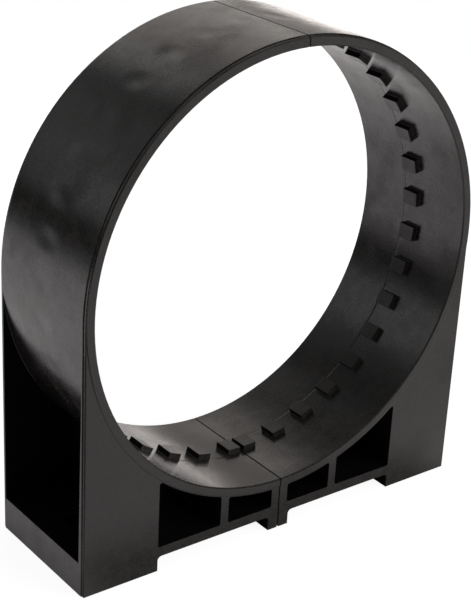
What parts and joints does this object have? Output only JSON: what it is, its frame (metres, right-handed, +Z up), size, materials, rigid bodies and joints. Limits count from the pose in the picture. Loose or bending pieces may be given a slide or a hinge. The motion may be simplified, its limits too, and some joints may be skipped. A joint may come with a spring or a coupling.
{
  "type": "filter mounting clamp",
  "caption": "Split ring clamp of black moulded plastic on a footed base: two equal half shells close round a filter housing, which inner lugs key, and screw down through side pockets.",
  "frame": {"origin": "middle of the base, on the ground that the feet stand on, in the seam plane between the two half shells", "axes": "+Z up, +Y along the ring's axis from the front face to the back face, +X to the right half shell"},
  "size_m": [0.2096, 0.0684, 0.2304],
  "materials": {
    "moulded_plastic": "black glass-filled nylon, satin, with a fine mould grain"
  },
  "bodies": {
    "root": {"right_half_shell": "moulded_plastic", "left_half_shell": "moulded_plastic"}
  },
  "joints": []
}
